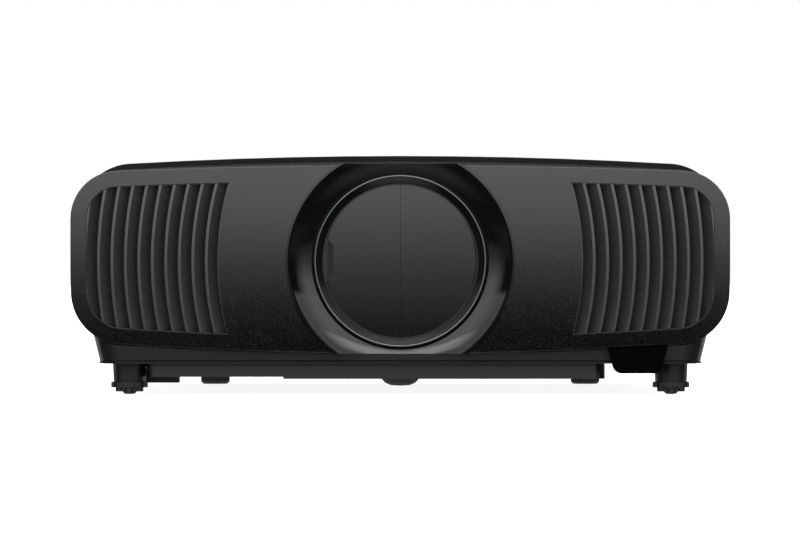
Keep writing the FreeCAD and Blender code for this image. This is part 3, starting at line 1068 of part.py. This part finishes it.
def make_air_filter():
    xs = (f"-{FILTER_LEFT} + 0.4", f"-{FILTER_RIGHT} - 0.4")
    zs = ("filter_low + 0.4", "filter_high - 0.4")
    flat = box("filter_plate", xs, (f"{REAR} - wall - 0.6", f"{REAR} - 0.6"), zs)
    grooves = [box(f"filter_groove_{n}", (f"-{FILTER_LEFT} + 14", f"-{FILTER_RIGHT} - 14"), (f"{REAR} - 5", "300"), (
        f"filter_low + {14 + 8 * n}", f"filter_low + {17.4 + 8 * n}")) for n in range(8)]
    grip = box("filter_grip", (f"(-{FILTER_LEFT} - {FILTER_RIGHT}) / 2 - 12", f"(-{FILTER_LEFT} - {FILTER_RIGHT}) / 2 + 12"), (
        f"{REAR} - wall - 0.6", REAR), ("filter_high - 7", "filter_high - 4"))
    keep("filter_cover", joined("filter_door", [cut("filter_front", flat, grooves), grip]))
    case = box("filter_case", (f"-{FILTER_LEFT} + 3", f"-{FILTER_RIGHT} - 3"), ("186", f"{REAR} - wall - 1"), (
        "filter_low + 3", "filter_high - 3"))
    hollow = box("filter_hollow", (f"-{FILTER_LEFT} + 6", f"-{FILTER_RIGHT} - 6"), ("180", "230"), (
        "filter_low + 6", "filter_high - 6"))
    ring = cut("filter_ring", case, [hollow])
    pleats = [box(f"filter_pleat_{n}", (f"-{FILTER_LEFT} + 5", f"-{FILTER_RIGHT} - 5"), ("188", "212"), (
        f"filter_low + {9 + 6 * n}", f"filter_low + {11.5 + 6 * n}")) for n in range(13)]
    sheet = box("filter_sheet", (f"-{FILTER_LEFT} + 5", f"-{FILTER_RIGHT} - 5"), ("198", "200"), (
        "filter_low + 5", "filter_high - 5"))
    keep("air_filter", joined("filter_whole", [ring, sheet] + pleats))


# ---------------------------------------------------------------- side control panel

def control_buttons():
    """name, middle y, middle z of each button."""
    middle = "(panel_low + panel_high) / 2"
    first, second, pad = "panel_near + 12", "panel_near + 32", "panel_near + 68"
    return [("power", first, f"{middle} + 10"), ("source", first, f"{middle} - 9"),
            ("menu", second, f"{middle} + 10"), ("escape", second, f"{middle} - 9"),
            ("up", pad, f"{middle} + 12.5"), ("down", pad, f"{middle} - 10.5"),
            ("near", f"{pad} - 12", f"{middle} + 1"), ("far", f"{pad} + 12", f"{middle} + 1"),
            ("enter", pad, f"{middle} + 1")]


def make_controls():
    out = f"-{WALL_OUT}"
    face = f"({out} + 9)"
    plate = box("panel_plate", (face, f"{face} + 2"), ("panel_near - 6", "panel_far + 6"), (
        "panel_low + 4.5", "panel_high + 4"))
    rim_far = box("panel_rim_top", (f"{out} + wall + 0.05", f"{face} + 1"), ("panel_near - 6", "panel_far + 6"), (
        "panel_high + 1", "panel_high + 4"))
    holes = []
    for name, y, z in control_buttons():
        radius = "button_radius + 1.6" if name == "power" else "button_radius"
        holes.append(rod(f"{name}_hole", "X", f"{radius} + 0.2", (f"{face} - 1", y, z), "6"))
        keep(f"button_{name}", turned(f"{name}_key", [
            ("0", "-button_rise"), (f"{radius} - 0.6", "-button_rise"), (radius, "-button_rise + 0.5"),
            (radius, "2.3"), (f"{radius} + 0.8", "2.3"), (f"{radius} + 0.8", "3.2"), ("0", "3.2")],
            (face, y, z), "X"))
    keep("control_plate", cut("panel_face", joined("panel_whole", [plate, rim_far]), holes))
    keep("control_board", box("panel_board", (f"{face} + 5", f"{face} + 6.6"), ("panel_near", "panel_far"), (
        "panel_low + 5", "panel_high")))
    hinge_x, hinge_z = f"{out} + hinge_radius", "(panel_low + 0.3 + hinge_radius)"
    ys = ("panel_near + 0.3", "panel_far - 0.3")
    leaf = box("door_leaf", (out, f"{out} + 2.2"), ys, (hinge_z, "panel_high - 0.3"))
    knuckle = rod("door_knuckle", "Y", "hinge_radius", (hinge_x, ys[0], hinge_z), "panel_far - panel_near - 0.6")
    pin = rod("door_pin", "Y", "1.2", (hinge_x, "panel_near - 2", hinge_z), "panel_far - panel_near + 4")
    grip = box("door_grip", (f"{out} - 0.8", f"{out} + 1"), ("62", "78"), ("panel_high - 4", "panel_high - 2.6"))
    keep("control_door", joined("door_flap", [leaf, knuckle, pin, grip]))


# ---------------------------------------------------------------- build, check and write

def write_parts():
    doc.recompute()
    for thing in doc.Objects:
        if "Invalid" in thing.State or "Error" in thing.State:
            raise RuntimeError(f"{thing.Name}: {thing.State}")
    for thing in kept:
        if thing.Shape.isNull() or not thing.Shape.isValid():
            raise RuntimeError(f"{thing.Label} has no valid shape")
    os.makedirs("parts", exist_ok=True)
    for thing in kept:
        thing.Shape.exportStep(f"parts/{thing.Label}.step")


for make in (make_fascia, make_bowl, make_trim_ring, make_grilles, make_front_window, make_shutter, make_upper_case,
             make_lower_case, make_bottom_cover, make_rear_panel, make_fasteners, make_feet, make_lens, make_optics,
             make_fans, make_boards, make_air_filter, make_controls):
    make()
write_parts()
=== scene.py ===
"""A large home cinema projector seen from straight ahead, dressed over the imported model."""

import json
import math

import bmesh
import bpy
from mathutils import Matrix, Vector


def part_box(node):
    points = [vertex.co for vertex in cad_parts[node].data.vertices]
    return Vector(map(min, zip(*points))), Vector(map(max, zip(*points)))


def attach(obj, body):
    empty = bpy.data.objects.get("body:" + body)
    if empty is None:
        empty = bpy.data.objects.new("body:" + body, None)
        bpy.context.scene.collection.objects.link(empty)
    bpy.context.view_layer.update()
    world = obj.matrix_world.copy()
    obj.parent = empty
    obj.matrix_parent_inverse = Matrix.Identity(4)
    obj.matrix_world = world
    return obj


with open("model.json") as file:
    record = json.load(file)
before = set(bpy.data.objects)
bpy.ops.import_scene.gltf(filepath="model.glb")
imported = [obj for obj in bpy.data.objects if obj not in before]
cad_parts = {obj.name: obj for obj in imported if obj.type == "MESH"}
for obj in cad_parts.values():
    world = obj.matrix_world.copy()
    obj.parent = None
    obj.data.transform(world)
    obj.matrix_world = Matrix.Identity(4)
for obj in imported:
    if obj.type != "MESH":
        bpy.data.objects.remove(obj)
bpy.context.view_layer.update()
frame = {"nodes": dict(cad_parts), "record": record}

MM = 0.001
RING_LOW, RING_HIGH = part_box("lens_trim_ring")
AXIS_Z = (RING_LOW[2] + RING_HIGH[2]) / 2  # height of the lens axis
FRONT_Y = -225.1 * MM  # apex of the front fascia's curve, which the lens bowl cuts away


# ---------------------------------------------------------------- materials

def material(name):
    made = bpy.data.materials.new(name)
    made.use_nodes = True
    shader = made.node_tree.nodes["Principled BSDF"]
    return made, made.node_tree.nodes, made.node_tree.links, shader


def noise(nodes, links, scale, detail=4.0, rough=0.6):
    made = nodes.new("ShaderNodeTexNoise")
    made.inputs["Scale"].default_value = scale
    made.inputs["Detail"].default_value = detail
    made.inputs["Roughness"].default_value = rough
    links.new(nodes.new("ShaderNodeTexCoord").outputs["Object"], made.inputs["Vector"])
    return made.outputs["Fac"]


def ramp(nodes, links, source, stops):
    made = nodes.new("ShaderNodeValToRGB")
    while len(made.color_ramp.elements) < len(stops):
        made.color_ramp.elements.new(0.5)
    for element, (place, colour) in zip(made.color_ramp.elements, stops):
        element.position = place
        element.color = (*colour, 1.0)
    links.new(source, made.inputs["Fac"])
    return made.outputs["Color"]


def bump(nodes, links, shader, height, strength, distance):
    made = nodes.new("ShaderNodeBump")
    made.inputs["Strength"].default_value = strength
    made.inputs["Distance"].default_value = distance
    links.new(height, made.inputs["Height"])
    links.new(made.outputs["Normal"], shader.inputs["Normal"])


def mottle(nodes, links, shader, scale, colour, lift):
    """A faint, slow change of colour, up to lift times as bright."""
    lifted = tuple(min(channel * lift, 1) for channel in colour)
    spread = ramp(nodes, links, noise(nodes, links, scale, 2.0), [(0.3, colour), (0.7, lifted)])
    links.new(spread, shader.inputs["Base Color"])


def plastic(name, dark, light, rough, grain=2600.0, depth=0.06 * MM, strength=0.5, specular=0.5,
            metallic=0.0, wear=0.06, grain_span=(0.32, 0.7)):
    """Moulded plastic, or metal: a fine grain in colour and bump, and slow patches of polish."""
    made, nodes, links, shader = material(name)
    shader.inputs["Metallic"].default_value = metallic
    shader.inputs["Specular IOR Level"].default_value = specular
    fine = noise(nodes, links, grain, 3.0, 0.65)
    stops = zip(grain_span, (dark, light))
    links.new(ramp(nodes, links, fine, list(stops)), shader.inputs["Base Color"])
    polish = nodes.new("ShaderNodeMapRange")
    polish.inputs["To Min"].default_value = max(rough - wear, 0.02)
    polish.inputs["To Max"].default_value = min(rough + wear, 1.0)
    links.new(noise(nodes, links, 38.0, 5.0), polish.inputs["Value"])
    links.new(polish.outputs["Result"], shader.inputs["Roughness"])
    if strength > 0:
        bump(nodes, links, shader, fine, strength, depth)
    return made


def glass(name, tint):
    made, nodes, links, shader = material(name)
    shader.inputs["Transmission Weight"].default_value = 1.0
    shader.inputs["Roughness"].default_value = 0.0
    shader.inputs["IOR"].default_value = 1.5
    mottle(nodes, links, shader, 5.0, tint, 1.06)
    return made


def grey(level):
    """Grey with the trace of blue that black plastic shows."""
    return (level, level, level * 1.015)


METAL = dict(metallic=1.0, strength=0.1)
POLISHED = dict(strength=0.0, wear=0.01)

PLASTICS = {
    "case_plastic": dict(dark=grey(0.0003), light=grey(0.0066), rough=0.2, grain=850.0, depth=0.12 * MM,
                         strength=0.7, wear=0.02, grain_span=(0.48, 0.66)),
    "dark_plastic": dict(dark=grey(0.0015), light=grey(0.004), rough=0.3, depth=0.03 * MM, wear=0.03),
    "louvre_plastic": dict(dark=grey(0.017), light=grey(0.026), rough=0.28, grain=900.0, depth=0.03 * MM),
    "ring_plastic": dict(dark=grey(0.0015), light=grey(0.0025), rough=0.18, strength=0.05, wear=0.02,
                         specular=0.54),
    "gloss_black": dict(dark=grey(0.002), light=grey(0.003), rough=0.07, specular=0.4, **POLISHED),
    "window_black": dict(dark=grey(0.0005), light=grey(0.001), rough=0.1, specular=0.01, **POLISHED),
    "window_dark": dict(dark=(0.006, 0.002, 0.003), light=(0.01, 0.003, 0.004), rough=0.05, **POLISHED),
    "key_plastic": dict(dark=grey(0.06), light=grey(0.09), rough=0.42, strength=0.3),
    "rubber_black": dict(dark=grey(0.012), light=grey(0.022), rough=0.8, strength=0.6),
    "gear_plastic": dict(dark=(0.62, 0.6, 0.55), light=(0.72, 0.7, 0.65), rough=0.4, strength=0.1),
    "board_green": dict(dark=(0.01, 0.07, 0.03), light=(0.02, 0.11, 0.05), rough=0.4, grain=700.0,
                        strength=0.2),
    "filter_foam": dict(dark=grey(0.12), light=grey(0.22), rough=0.95, grain=900.0, strength=0.9),
    "steel_sheet": dict(dark=grey(0.45), light=grey(0.55), rough=0.35, **METAL),
    "screw_steel": dict(dark=grey(0.1), light=grey(0.16), rough=0.35, **METAL),
    "motor_metal": dict(dark=grey(0.35), light=grey(0.45), rough=0.3, **METAL),
    "cast_alloy": dict(dark=grey(0.35), light=grey(0.5), rough=0.5, grain=900.0, metallic=1.0, strength=0.4),
    "fin_alloy": dict(dark=grey(0.6), light=grey(0.7), rough=0.3, **METAL),
    "connector_metal": dict(dark=grey(0.6), light=grey(0.7), rough=0.22, metallic=1.0, strength=0.05),
    "barrel_metal": dict(dark=grey(0.01), light=grey(0.016), rough=0.4, strength=0.2),
    "wheel_coat": dict(dark=(0.6, 0.5, 0.1), light=(0.7, 0.6, 0.15), rough=0.4, strength=0.1),
}

MATERIALS = {name: plastic(name, **finish) for name, finish in PLASTICS.items()}
MATERIALS["lens_glass"] = glass("lens_glass", (0.75, 0.8, 0.88))
MATERIALS["optic_mix"] = glass("optic_mix", (0.6, 0.68, 0.75))

# The front window has the slot gloss_black in the record, but reflects far less than the rest of that slot.
OWN_FINISH = {"remote_window_front": "window_black"}

for entry in frame["record"]["subparts"]:
    slots = frame["nodes"][entry["node"]].data.materials
    slots.clear()
    slots.append(MATERIALS[OWN_FINISH.get(entry["node"], entry["material_slot"])])


# ---------------------------------------------------------------- softened edges

KEYS = ("power", "source", "menu", "escape", "up", "down", "near", "far", "enter")

# Width of the softened edge, and the nodes that have it.
EDGES = {
    0.15 * MM: tuple("button_" + key for key in KEYS),
    0.35 * MM: ("front_fascia", "lens_bowl", "vent_grille_left", "vent_grille_right", "control_door",
                "power_inlet"),
    0.45 * MM: ("shutter_door_left", "shutter_door_right", "upper_case", "lower_case", "rear_panel",
                "filter_cover"),
    0.7 * MM: ("bottom_cover", "foot_dial_left", "foot_dial_right", "rear_feet", "remote_window_front"),
}


def soften(node, width):
    """A narrow rounded edge that catches the light, as moulded parts have."""
    made = node.modifiers.new("edge", "BEVEL")
    made.width = width
    made.segments = 2
    made.limit_method = "ANGLE"
    made.angle_limit = math.radians(38)
    made.harden_normals = False
    made.use_clamp_overlap = True


for edge_width, names in EDGES.items():
    for node_name in names:
        soften(frame["nodes"][node_name], edge_width)


# ---------------------------------------------------------------- added pieces

def new_piece(name, work, finish, body):
    """The finished bmesh as a piece that moves with a body."""
    bmesh.ops.recalc_face_normals(work, faces=work.faces)
    mesh = bpy.data.meshes.new(name)
    work.to_mesh(mesh)
    work.free()
    made = bpy.data.objects.new(name, mesh)
    bpy.context.scene.collection.objects.link(made)
    made.data.materials.append(finish)
    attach(made, body)


def join_loops(work, first, second):
    """A band of faces between two closed rows of points."""
    for k in range(len(first)):
        after = (k + 1) % len(first)
        work.faces.new((first[k], first[after], second[after], second[k]))


def lathe(profile, centre, steps=256):
    """A closed profile of (radius, depth) turned about an axis along Y."""
    work = bmesh.new()
    rings = []
    for n in range(steps):
        turn = 2 * math.pi * n / steps
        places = [(centre[0] + r * math.cos(turn), centre[1] + y, centre[2] + r * math.sin(turn))
                  for r, y in profile]
        rings.append([work.verts.new(place) for place in places])
    for n in range(steps):
        join_loops(work, rings[n], rings[(n + 1) % steps])
    for face in work.faces:
        face.smooth = True
    return work


def make_ring_crest():
    """The bright satin crest round the lens, a slim half-round bead sunk in the trim ring."""
    half = 0.8 * MM
    middle = (RING_HIGH[0] - RING_LOW[0]) / 2 - 0.78 * MM
    front = RING_LOW[1] + 0.7 * MM
    root_half, root_depth = half * 0.8, 0.5 * MM
    turns = [math.pi * k / 10 for k in range(11)]
    bead = [(middle + half * math.cos(t), -half * 1.02 * math.sin(t)) for t in turns]
    root = [(middle - root_half, root_depth), (middle + root_half, root_depth)]
    work = lathe(bead + root, (0, front, AXIS_Z))
    finish = plastic("ring_bright", grey(0.13), grey(0.16), 0.3, metallic=1.0, strength=0.05, wear=0.03)
    new_piece("lens_ring_crest", work, finish, "case")


def make_shutter_seal():
    """A thin dark strip on the left shutter's meeting edge, a little below the doors' crowned face."""
    low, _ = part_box("shutter_door_left")
    left, right = -0.15 * MM, 0.11 * MM
    half_height = 60.2 * MM
    crown_radius = 800 * MM
    sunk, nose, back = 0.9 * MM, 0.1 * MM, 4.6 * MM
    steps = 24
    work = bmesh.new()
    rows = []
    for k in range(steps + 1):
        rise = (2 * k / steps - 1) * half_height
        near = low[1] + sunk + rise ** 2 / (2 * crown_radius)
        far = low[1] + back
        section = [(left, near + nose), ((left + right) / 2, near), (right, near + nose)]
        section += [(right, far), (left, far)]
        rows.append([work.verts.new((x, y, AXIS_Z + rise)) for x, y in section])
    for first, second in zip(rows, rows[1:]):
        join_loops(work, first, second)
    work.faces.new(rows[0])
    work.faces.new(rows[-1])
    new_piece("shutter_seal", work, MATERIALS["rubber_black"], "shutter_left")


def make_notch_floor():
    """The rough dark floor of the finger notch in the left shutter's outer edge."""
    low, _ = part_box("shutter_door_left")
    door_radius = 60.3 * MM
    outer_x, slope_x, inner_x = -60.2 * MM, -57.2 * MM, -53.6 * MM
    outer_z, slope_z, inner_z = 17.4 * MM, 15.4 * MM, 11.0 * MM
    raised = 1 * MM  # the notch is centred a little above the lens axis
    near, thick = low[1] + 1.33 * MM, 0.25 * MM
    lower_half = [(outer_x, -outer_z), (slope_x, -slope_z), (inner_x, -inner_z)]
    upper_half = [(x, -z) for x, z in reversed(lower_half)]
    outline = []
    for x, z in lower_half + upper_half:
        reach = math.sqrt(door_radius ** 2 - (z + raised) ** 2)
        outline.append((max(x, -reach), z + raised))
    work = bmesh.new()
    front, back = [[work.verts.new((x, y, AXIS_Z + z)) for x, z in outline] for y in (near, near + thick)]
    work.faces.new(front)
    work.faces.new(back)
    join_loops(work, front, back)
    bmesh.ops.recalc_face_normals(work, faces=work.faces)
    bmesh.ops.bevel(work, geom=work.edges[:], offset=0.06 * MM, segments=2, affect="EDGES")
    finish = plastic("notch_black", grey(0.005), grey(0.009), 0.6, strength=0.4, specular=0.2)
    new_piece("shutter_notch_floor", work, finish, "shutter_left")


make_ring_crest()
make_shutter_seal()
make_notch_floor()


# ---------------------------------------------------------------- floor, light and camera

FLOOR_SIZE = 30
FLOOR_BACK = 8  # how far the floor's middle is behind the projector
FLOOR_GAP = 0.5 * MM
FLOOR_GREY = 0.6
FLOOR_GLOW = 0.9

STUDIO_STRENGTH = 4.0

# What the studio shows in each direction: (sine of the angle above the horizon, brightness).
AHEAD = [(-1, 0.6), (-0.8, 0.5), (-0.62, 0.25), (-0.5, 0.01), (-0.16, 0.005), (0, 0.75), (0.16, 2.1),
         (0.3, 2.5), (0.62, 2.5), (0.66, 6), (0.78, 6), (0.82, 1.6), (1, 1.3)]
ASIDE = [(-1, 0.6), (-0.93, 0.3), (-0.85, 0.004), (-0.35, 0.004), (-0.28, 0.12), (-0.06, 0.12), (0, 0.004),
         (0.27, 0.004), (0.31, 1.3), (1, 1.3)]
BEHIND = [(-1, 0.6), (-0.93, 0.3), (-0.5, 0.9), (-0.12, 0.9), (0, 0.003), (0.35, 0.004), (0.6, 0.9),
          (1, 1.3)]

CAMERA_LENS = 223.3
CAMERA_DISTANCE = 3.915
CAMERA_LEFT = 0.2 * MM
CAMERA_DROP = 4.734 * MM  # how far the camera is below the lens axis


def make_floor():
    bpy.ops.mesh.primitive_plane_add(size=FLOOR_SIZE, location=(0, FLOOR_BACK, -FLOOR_GAP))
    floor = bpy.context.object
    floor.name = "floor"
    finish, nodes, links, shader = material("floor_paint")
    shader.inputs["Roughness"].default_value = 0.9
    mottle(nodes, links, shader, 3.0, (FLOOR_GREY, FLOOR_GREY, FLOOR_GREY), 1.01)
    shader.inputs["Emission Color"].default_value = (1.0, 1.0, 1.0, 1.0)
    shader.inputs["Emission Strength"].default_value = FLOOR_GLOW
    floor.data.materials.append(finish)
    floor.visible_glossy = False


def zone(nodes, links, source, low, high):
    """0 below low, 1 above high, and even between them."""
    made = nodes.new("ShaderNodeMapRange")
    made.inputs["From Min"].default_value = low
    made.inputs["From Max"].default_value = high
    links.new(source, made.inputs["Value"])
    return made.outputs["Result"]


def blend(nodes, links, amount, first, second):
    made = nodes.new("ShaderNodeMix")
    made.data_type = "RGBA"
    links.new(amount, made.inputs[0])
    links.new(first, made.inputs[6])
    links.new(second, made.inputs[7])
    return made.outputs[2]


def make_world():
    """A soft studio: a broad panel high in front, a ceiling overhead and dark sides, on a white ground."""
    world = bpy.data.worlds.new("studio")
    bpy.context.scene.world = world
    world.use_nodes = True
    nodes, links = world.node_tree.nodes, world.node_tree.links
    nodes.clear()
    split = nodes.new("ShaderNodeSeparateXYZ")
    links.new(nodes.new("ShaderNodeTexCoord").outputs["Generated"], split.inputs["Vector"])
    height = zone(nodes, links, split.outputs["Z"], -1.0, 1.0)

    def band(levels):
        stops = [(0.5 + level / 2, grey(shade / STUDIO_STRENGTH)) for level, shade in levels]
        return ramp(nodes, links, height, stops)

    ahead, aside, behind = band(AHEAD), band(ASIDE), band(BEHIND)
    sides = blend(nodes, links, zone(nodes, links, split.outputs["Y"], 0.2, 0.55), aside, behind)
    soft = blend(nodes, links, zone(nodes, links, split.outputs["Y"], -0.25, -0.6), sides, ahead)
    studio = nodes.new("ShaderNodeBackground")
    studio.inputs["Strength"].default_value = STUDIO_STRENGTH
    links.new(soft, studio.inputs["Color"])
    white = nodes.new("ShaderNodeBackground")
    white.inputs["Color"].default_value = (1.0, 1.0, 1.0, 1.0)
    white.inputs["Strength"].default_value = 1.0
    mix = nodes.new("ShaderNodeMixShader")
    links.new(nodes.new("ShaderNodeLightPath").outputs["Is Camera Ray"], mix.inputs["Fac"])
    links.new(studio.outputs["Background"], mix.inputs[1])
    links.new(white.outputs["Background"], mix.inputs[2])
    links.new(mix.outputs["Shader"], nodes.new("ShaderNodeOutputWorld").inputs["Surface"])


def make_camera():
    data = bpy.data.cameras.new("camera")
    data.sensor_width = 36.0
    data.lens = CAMERA_LENS
    data.clip_end = 100
    made = bpy.data.objects.new("camera", data)
    bpy.context.scene.collection.objects.link(made)
    made.location = (-CAMERA_LEFT, FRONT_Y - CAMERA_DISTANCE, AXIS_Z - CAMERA_DROP)
    made.rotation_euler = (math.radians(90), 0, 0)
    bpy.context.scene.camera = made


make_floor()
make_world()
bpy.context.scene.view_settings.view_transform = "Standard"
make_camera()
